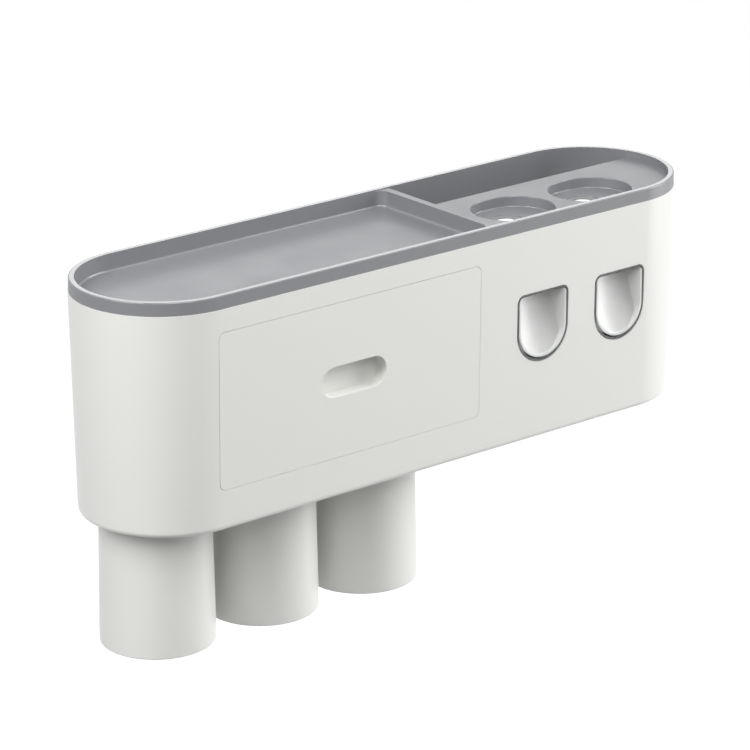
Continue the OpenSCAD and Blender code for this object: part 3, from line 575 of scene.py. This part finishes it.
def makeTray():
    top = longForm("grey_top_tray", bandRadius, bandRadius, shellTop, rimTop, run)
    skirtRadius = endRadius - tray["skirtInset"]
    combine(top, longForm("skirt", skirtRadius, skirtRadius, trayLow.z, shellTop + over, run), "UNION")
    floorZ = rimTop - tray["depth"]
    hollow = rimSpace("hollow", floorZ, rimTop + over)
    keepPast(hollow, xAxis, tray["dividerLow"], -1)
    roundEdges(hollow, lambda e: allAt(e, xAxis, tray["dividerLow"]) and isUpright(e),
               tray["corner"], segments=10)
    roundEdges(hollow, lambda e: allAt(e, zAxis, floorZ), tray["fillet"], segments=5)
    cut(top, hollow)
    right = rimSpace("right", trayLow.z - over, rimTop + over)
    keepPast(right, xAxis, tray["dividerHigh"], 1)
    cut(top, right)
    dividerTop = rimTop - tray["dividerDrop"]
    aboveDivider = rimSpace("aboveDivider", dividerTop, rimTop + over)
    keepPast(aboveDivider, xAxis, 0, 1)
    cut(top, aboveDivider)
    onBand = lambda p: spineDistance(p) > bandRadius - rimTouch
    onRim = lambda p: abs(spineDistance(p) - innerRadius) < rimTouch
    roundEdges(top, lambda e: allAt(e, zAxis, rimTop) and allEnds(e, onBand), tray["outerRadius"], segments=5)
    roundEdges(top, lambda e: allAt(e, zAxis, rimTop) and isSharp(e) and allEnds(e, onRim),
               tray["innerRadius"])
    roundEdges(top, lambda e: allAt(e, zAxis, dividerTop) and isSharp(e) and not allEnds(e, onRim),
               tray["innerRadius"])
    finishPiece(top, "grey_top", ["top_tray"], "casing")


makeTray()
print("stage: tray")

# Deck: a plate with two pill-shaped wells, each with a step and a neck hole for the tube
deck = {
    "thick": 2.0,
    "bayWall": 1.6,
    "wellRadius": 20.4,
    "wellLength": 46.4,
    "wellGap": 5.2,
    "wellDepth": 6.0,
    "wellShift": 3.5,
    "wellCorners": 96,
    "wellReach": 0.5,      # an edge this close to the well's side belongs to it
    "pitDrop": 0.5,        # the well's outside ends this far under the deck's top
    "stepRadius": 9.6,
    "stepDrop": 0.5,
    "stepReach": 0.3,
    "neckHole": 5.6,
    "wellEdge": 0.6,
    "wellFillet": 0.8,
    "stepEdge": 0.25,
    "bayEdge": 0.7,
    "bossRadius": 3.0,
    "bossOff": 12.0,
    "bossHeight": 3.1,
    "bossCorners": 32,
    "screwRadius": 1.35,
    "screwCorners": 24,
    "neckBack": 1.1,
    "sealSink": 0.4,
}
deckLow, deckHigh = span("dispenser_deck")
wellY = deck["wellRadius"] + deck["wellGap"] - innerRadius
neckY = wellY + deck["neckBack"]
sealY = sum(p.y for p in span("tube_seal_1")) / 2
neckZ = deckHigh.z - deck["wellDepth"] - deck["stepDrop"]


def rod(name, centre, radius, z0, z1, corners=96):
    return longForm(name, radius, radius, z0, z1, 0, corners, centre)


def addBoss(plate, centre):
    top = deckLow.z + deck["bossHeight"]
    combine(plate, rod("boss", centre, deck["bossRadius"], deckLow.z, top, deck["bossCorners"]), "UNION")
    cut(plate, rod("hole", centre, deck["screwRadius"], deckLow.z - over, top, deck["screwCorners"]))


def makeDeck():
    top = deckHigh.z
    bayY = deckHigh.y
    plate = rimSpace("grey_deck", top - deck["thick"], top)
    keepPast(plate, xAxis, tray["dividerHigh"], 1)
    keepPast(plate, yAxis, bayY, -1)
    wall = block("wall", (tray["dividerHigh"], run + innerRadius), (bayY - deck["bayWall"], bayY),
                 (trayLow.z, top - over))
    combine(wall, rimSpace("trim", trayLow.z - over, top + over), "INTERSECT")
    combine(plate, wall, "UNION")
    wellBottom = top - deck["wellDepth"]
    under = neckZ - deck["bayWall"]
    radius = deck["wellRadius"]
    outside = radius + deck["bayWall"]
    wellRun = deck["wellLength"] / 2 - radius
    corners = deck["wellCorners"]
    for middle in unitMiddles:
        centre = (middle + deck["wellShift"], wellY)
        neck = (middle, neckY)
        pit = longForm("pit", outside, outside, under, top - deck["pitDrop"], wellRun, corners, centre)
        combine(plate, pit, "UNION")
        for side in (-1, 1):
            addBoss(plate, (middle + side * deck["bossOff"], sealY))
        well = longForm("well", radius, radius, wellBottom, top + over, wellRun, corners, centre)
        roundEdges(well, lambda e: allAt(e, zAxis, wellBottom), deck["wellFillet"])
        cut(plate, well)
        cut(plate, rod("step", neck, deck["stepRadius"], neckZ, top + over))
        cut(plate, rod("neck", neck, deck["neckHole"], under - over, top + over))
        inWell = lambda p: (math.hypot(max(abs(p.x - centre[0]) - wellRun, 0), p.y - wellY)
                            < radius + deck["wellReach"])
        nearNeck = lambda p: math.hypot(p.x - middle, p.y - neckY) < deck["stepRadius"] + deck["stepReach"]
        roundEdges(plate, lambda e: allAt(e, zAxis, top) and allEnds(e, inWell), deck["wellEdge"])
        roundEdges(plate, lambda e: isSharp(e) and allEnds(e, nearNeck) and edgeSpots(e)[0].z > neckZ - touch,
                   deck["stepEdge"], segments=2)
    roundEdges(plate, lambda e: allAt(e, zAxis, top) and allAt(e, yAxis, bayY), deck["bayEdge"])
    finishPiece(plate, "grey_top", ["dispenser_deck"], "casing")


# The seal's plug is led to the neck's hole and sits just under it
def makeSeal(number):
    node = f"tube_seal_{number}"
    low, high = span(node)
    piece = nodeCopy(node, f"white_seal_{number}")
    editing(piece)
    pick(piece, "VERT", lambda v: spot(v.co).z > (deckLow.z + neckZ) / 2 - deck["bayWall"] / 2)
    drop = neckZ - deck["sealSink"] - high.z
    bpy.ops.transform.translate(value=(0, (neckY - sealY) * mm, drop * mm))
    doneEditing()
    finishPiece(piece, "silicone", [node], "casing")


makeDeck()
for number in (1, 2):
    makeSeal(number)
print("stage: deck")


# The finger pull's bowl, or its outside when grown by the wall
def pullHollow(grow):
    width = drawerValues["pullWidth"] / 2 + grow
    height = drawerValues["pullHeight"] / 2 + grow
    middleX = (drawerLow.x + drawerHigh.x) / 2 + drawerValues["pullShift"]
    middleZ = (drawerLow.z + drawerHigh.z) / 2 - drawerValues["pullDrop"]
    backY = frontY + drawerValues["pullDepth"] + grow
    pill = cushionBlock("pull", (middleX - width, middleX + width), (frontY - over, backY),
                        (middleZ - height, middleZ + height), height - hair, height - hair, segments=16)
    roundEdges(pill, lambda e: allAt(e, yAxis, backY), drawerValues["pullBowl"] + grow, segments=8)
    return pill


def makeDrawerFront():
    grow = drawerValues["grow"]
    corner = drawerValues["corner"]
    front = cushionBlock("white_drawer_front", (drawerLow.x - grow, drawerHigh.x + grow),
                         (frontY - over, frontY + drawerValues["blank"]),
                         (drawerLow.z - grow, drawerHigh.z + grow), corner, corner)
    combine(front, draftedForm("skin", 0, 0, shellTop), "INTERSECT")
    cut(front, draftedForm("core", drawerValues["skin"], -over, shellTop + over))
    pod = pullHollow(drawerValues["pullWall"])
    combine(pod, draftedForm("skin", drawerValues["pullSunk"], 0, shellTop), "INTERSECT")
    combine(front, pod, "UNION")
    cut(front, pullHollow(0))
    middle = (drawerLow + drawerHigh) / 2
    reachX, reachZ = drawerValues["pullReach"]
    inPull = lambda e: allEnds(e, lambda p: abs(p.x - middle.x) < reachX and abs(p.z - middle.z) < reachZ)
    roundEdges(front, lambda e: onOuterSide(e) and inPull(e), drawerValues["pullEdge"])
    roundEdges(front, lambda e: onOuterSide(e) and not inPull(e), drawerValues["edge"], segments=3)
    finishPiece(front, "white_shell", ["drawer_front"], "drawer")


# The box makes room for the pull, up to the middle of the pull's wall
def makeDrawerBox():
    box = nodeCopy("drawer_box", "grey_drawer_box")
    cut(box, pullHollow(drawerValues["pullWall"] / 2))
    finishPiece(box, "inner_plastic", ["drawer_box"], "drawer")


makeDrawerFront()
makeDrawerBox()
print("stage: drawer")

# Dispensers: the CAD's body behind a bezel ring, and the CAD's lever with its scoop grown into the ring
bezel = {
    "cut": 3.5,            # the CAD's body is kept from here back
    "outer": 0.3,
    "inner": 1.5,
    "sunk": 0.15,
    "edge": 0.3,
    "leverEdge": 0.25,
    "leverGrow": 0.45,     # the scoop fills the bezel and comes up to its front
    "leverSunk": 0.7,
    "dishDepth": 12.5,
    "dishShare": 0.58,     # of its depth is left to the dish
    "lap": 0.5,            # the ring runs this far into the body
}


# The scoop is stretched about its dish and flattened towards its front, what is above it stays
def growLever(lever, number, middle):
    low, high = span(f"push_lever_{number}")
    paddleTop = windowTop - (casing["windowWidth"] - (high.x - low.x)) / 2
    dishY = low.y + bezel["dishDepth"]
    wide = 1 + 2 * bezel["leverGrow"] / (high.x - low.x)
    tall = 1 + 2 * bezel["leverGrow"] / (paddleTop - low.z)
    deep = (dishY - frontY - bezel["leverSunk"]) / (dishY - low.y)
    editing(lever)
    inPaddle = lambda v: spot(v.co).z < paddleTop + touch
    pick(lever, "VERT", inPaddle)
    bpy.ops.transform.resize(value=(wide, deep, tall),
                             center_override=place(middle, dishY, (paddleTop + low.z) / 2))
    pick(lever, "VERT", lambda v: inPaddle(v) and spot(v.co).y < dishY)
    bpy.ops.transform.resize(value=(1, bezel["dishShare"], 1),
                             center_override=place(middle, frontY + bezel["leverSunk"], windowTop))
    doneEditing()


def makeDispenser(number, middle):
    body = nodeCopy(f"dispenser_body_{number}", f"clear_dispenser_{number}")
    reach = casing["windowWidth"]
    cut(body, block("front", (middle - reach, middle + reach), (frontY - past, frontY + bezel["cut"]),
                    (windowTop - 2 * reach, windowTop + reach)))
    ringBack = frontY + bezel["cut"] + bezel["lap"]
    ring = windowBlock("ring", middle, (frontY - 2 * over, ringBack), bezel["outer"])
    cut(ring, windowBlock("inside", middle, (frontY - past, frontY + 2 * past), bezel["inner"]))
    combine(ring, draftedForm("skin", bezel["sunk"], 0, shellTop), "INTERSECT")
    roundEdges(ring, lambda e: onOuterSide(e, bezel["sunk"]), bezel["edge"], segments=3)
    combine(body, ring, "UNION")
    finishPiece(body, "clear_plastic", [f"dispenser_body_{number}"], "casing")
    lever = nodeCopy(f"push_lever_{number}", f"clear_lever_{number}")
    growLever(lever, number, middle)
    finishPiece(lever, "clear_plastic", [f"push_lever_{number}"], f"lever_{number}",
                bezel["leverEdge"], milkyPs)


for number, middle in enumerate(unitMiddles, 1):
    makeDispenser(number, middle)
print("stage: dispensers")

# Cups: turned, drafted, open at the mouth, with a seat for the steel disc in the closed end
cup = {
    "wall": 1.8,
    "draft": 1.3,
    "topEdge": 3.5,
    "base": 3.0,
    "discRadius": 12.1,
    "discDepth": 1.0,
    "pole": 0.02,          # radius of the small ring that closes on the axis
}


def makeCup(number):
    low, high = span(f"cup_{number}")
    centre = ((low.x + high.x) / 2, (low.y + high.y) / 2)
    mouth = (high.x - low.x) / 2
    top = mouth - cup["draft"]
    lip = cup["wall"] / 2
    inner = top - cup["wall"]
    seat = high.z - cup["discDepth"]
    inside = high.z - cup["base"]
    section = [(cup["pole"], seat), (cup["discRadius"], seat), (cup["discRadius"], high.z)]
    section += arc(top - cup["topEdge"], high.z - cup["topEdge"], cup["topEdge"], 90, 0, steps=6)
    section += arc(mouth - lip, low.z + lip, lip, 0, -180, steps=8)
    section += [(inner, inside - cup["wall"]), (inner - cup["wall"], inside), (cup["pole"], inside)]
    piece = closeRings(turned(f"white_cup_{number}", centre, section))
    finishPiece(piece, "white_shell", [f"cup_{number}"], f"cup_{number}")


for number in (1, 2, 3):
    makeCup(number)
print("stage: cups")

# Studio, in metres: a white background, a pale floor, four soft lamps and two small far ones that
# show in the polished edges
studio = {
    "floorDrop": 0.62,
    "floorSize": 14,
    "fill": 0.02,
    "paint": "#b4b4b4",
    "glow": 0.95,
}
lamps = {
    "left": {"round": -88, "above": 40, "away": 1.5, "size": (0.7, 1.2), "power": 19.5},
    "right": {"round": 62, "above": 10, "away": 1.5, "size": (0.7, 1.2), "power": 15.5},
    "farRight": {"round": 75, "above": 30, "away": 1.5, "size": (0.7, 1.2), "power": 5.4},
    "over": {"round": -20, "above": 50, "away": 1.5, "size": (0.7, 1.2), "power": 13.2},
    "rim": {"round": 140.7, "above": 19.4, "away": 3.0, "size": (0.9, 0.6), "power": 3.0},
    "edges": {"round": 61, "above": 47, "away": 3.0, "size": (0.8, 0.5), "power": 6.0},
}


def softLamp(name, values, aim):
    data = bpy.data.lights.new(name, "AREA")
    data.shape = "RECTANGLE"
    data.size = values["size"][0]
    data.size_y = values["size"][1]
    data.energy = values["power"]
    lamp = bpy.data.objects.new(name, data)
    bpy.context.collection.objects.link(lamp)
    outward = direction(values["round"], values["above"])
    lamp.location = aim + outward * values["away"]
    lamp.rotation_euler = (-outward).to_track_quat("-Z", "Y").to_euler()


for lampName, lampValues in lamps.items():
    softLamp(lampName, lampValues, Vector(camera["target"]))


# Tells the rays that see the white background from those that only carry light
def seesBackground(tree):
    path = addNode(tree, "ShaderNodeLightPath")
    clear = addNode(tree, "ShaderNodeMath", {"operation": "MAXIMUM"},
                    {0: path.outputs["Is Camera Ray"], 1: path.outputs["Is Transmission Ray"]})
    seen = addNode(tree, "ShaderNodeMath", {"operation": "MAXIMUM"},
                   {0: clear.outputs[0], 1: path.outputs["Is Glossy Ray"]})
    return seen.outputs[0]


world = bpy.data.worlds.new("studio")
world.use_nodes = True
bpy.context.scene.world = world
worldTree = world.node_tree
worldTree.nodes.clear()
white = (1, 1, 1, 1)
fill = addNode(worldTree, "ShaderNodeBackground", None, {"Color": white, "Strength": studio["fill"]})
pure = addNode(worldTree, "ShaderNodeBackground", None, {"Color": white, "Strength": 1})
backdrop = addNode(worldTree, "ShaderNodeMixShader", None,
                   {0: seesBackground(worldTree), 1: fill.outputs[0], 2: pure.outputs[0]})
addNode(worldTree, "ShaderNodeOutputWorld", None, {"Surface": backdrop.outputs[0]})

bpy.ops.object.select_all(action="DESELECT")
bpy.ops.mesh.primitive_plane_add(size=studio["floorSize"], location=(0, 0, -studio["floorDrop"]))
floor = bpy.context.object
floor.name = "floor"
# A painted floor that glows, so it is white to the eye and still takes the shadow
floorMat, tree = newMaterial("white studio floor")
paint = addNode(tree, "ShaderNodeBsdfDiffuse", None, {"Color": hexColour(studio["paint"])})
glow = addNode(tree, "ShaderNodeEmission", None, {"Strength": studio["glow"]})
lit = addNode(tree, "ShaderNodeAddShader", None, {0: paint.outputs[0], 1: glow.outputs[0]})
floorLook = addNode(tree, "ShaderNodeMixShader", None,
                    {0: seesBackground(tree), 1: paint.outputs[0], 2: lit.outputs[0]})
finishMaterial(tree, floorLook)
floor.data.materials.append(floorMat)
print("stage: studio")
